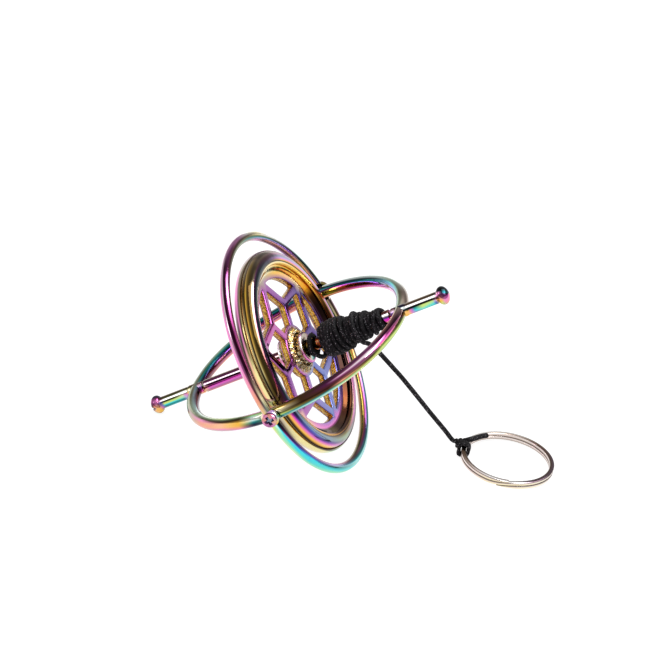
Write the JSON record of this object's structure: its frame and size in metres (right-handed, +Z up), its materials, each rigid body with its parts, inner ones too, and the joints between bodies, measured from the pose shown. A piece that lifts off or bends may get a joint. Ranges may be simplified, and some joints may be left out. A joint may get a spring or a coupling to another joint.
{
  "type": "toy gyroscope with pull cord",
  "caption": "All-metal toy gyroscope: spoked flywheel on an axle inside two crossed wire rings, button-ended posts, a cord wound on the axle and tied to a split pull ring.",
  "frame": {"origin": "on the table under the middle of the gyroscope, which is where its two rings' centres are", "axes": "+Z up from the table; +X is the level direction the axle points in as it rises towards the plain post; +Y runs along the two ring screws, away from the front one"},
  "size_m": [0.1008, 0.0642, 0.0502],
  "materials": {
    "rainbow_plating": "polished, with an oil-slick interference coating that runs through purple, teal, green and gold",
    "rainbow_plating_rotor": "polished, mostly gold and olive with pink and violet",
    "rainbow_plating_cast": "violet on the faces, gold and slightly gritty on the cast side walls",
    "screw_steel": "plated screw steel",
    "bearing_brass": "turned, lightly plated",
    "nickel": "bright nickel",
    "black_cord": "braided, matt"
  },
  "bodies": {
    "cage": {"meridian_ring": "rainbow_plating", "equator_ring": "rainbow_plating", "ring_screw_front": "screw_steel", "ring_screw_back": "screw_steel", "post_plain": "rainbow_plating", "post_slotted": "rainbow_plating", "pivot_cup_upper": "bearing_brass", "pivot_cup_lower": "bearing_brass", "pull_cord": "black_cord"},
    "rotor": {"rotor_rim": "rainbow_plating_rotor", "rotor_web": "rainbow_plating_cast", "rotor_hub": "bearing_brass", "axle": "rainbow_plating", "cord_winding": "black_cord"},
    "pull_ring": {"split_ring": "nickel", "cord_hitch": "black_cord", "cord_tail": "black_cord", "cord_knot": "black_cord"}
  },
  "joints": [
    {"name": "rotor_spin", "type": "hinge", "parent": "cage", "child": "rotor", "pos_m": [0, 0, 0.02508], "axis": [0.8207, 0, 0.5713], "continuous": true},
    {"name": "pull_ring_swing", "type": "hinge", "parent": "cage", "child": "pull_ring", "pos_m": [0.0402, 0.0089, 0.0022], "axis": [-0.208, -0.9781, 0], "range_deg": [0, 60]}
  ]
}
